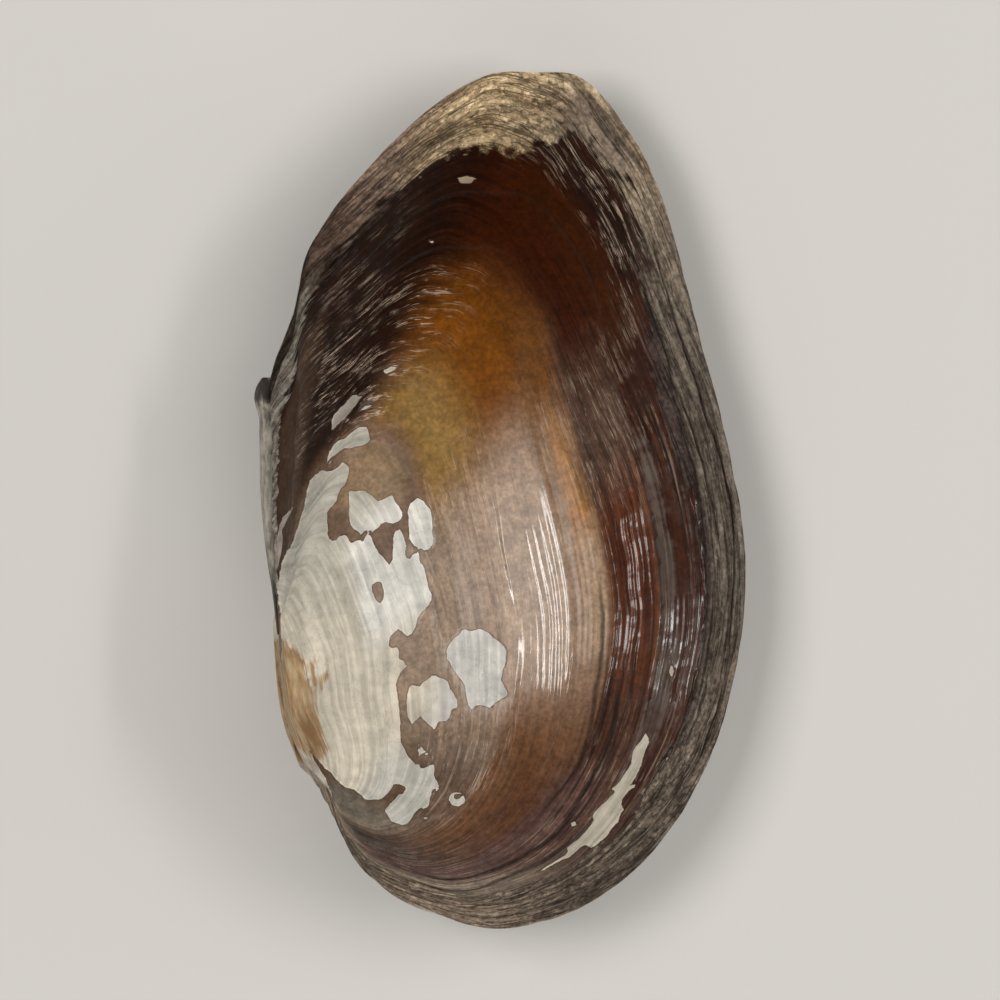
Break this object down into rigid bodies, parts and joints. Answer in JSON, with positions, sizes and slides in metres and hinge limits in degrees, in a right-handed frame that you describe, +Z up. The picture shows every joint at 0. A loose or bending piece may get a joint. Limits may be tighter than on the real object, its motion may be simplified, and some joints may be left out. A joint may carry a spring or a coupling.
{
  "type": "freshwater mussel shell",
  "caption": "Closed pair of long oval freshwater mussel valves with worn pearly beaks, growth ledges, a rough crusted edge and a dark hinge ligament, lying on one side.",
  "frame": {"origin": "centre of the box's underside, on the surface that the shell lies on", "axes": "+X towards the belly edge, +Y towards the rear end, +Z up through the left valve"},
  "size_m": [0.0464, 0.0808, 0.0271],
  "materials": {
    "valve": "glossy brown skin, worn to pale nacre at the beak and matt with crust at the edge",
    "ligament": "dark, dried and leathery"
  },
  "bodies": {
    "root": {"left_valve": "valve", "right_valve": "valve", "ligament": "ligament"}
  },
  "joints": []
}
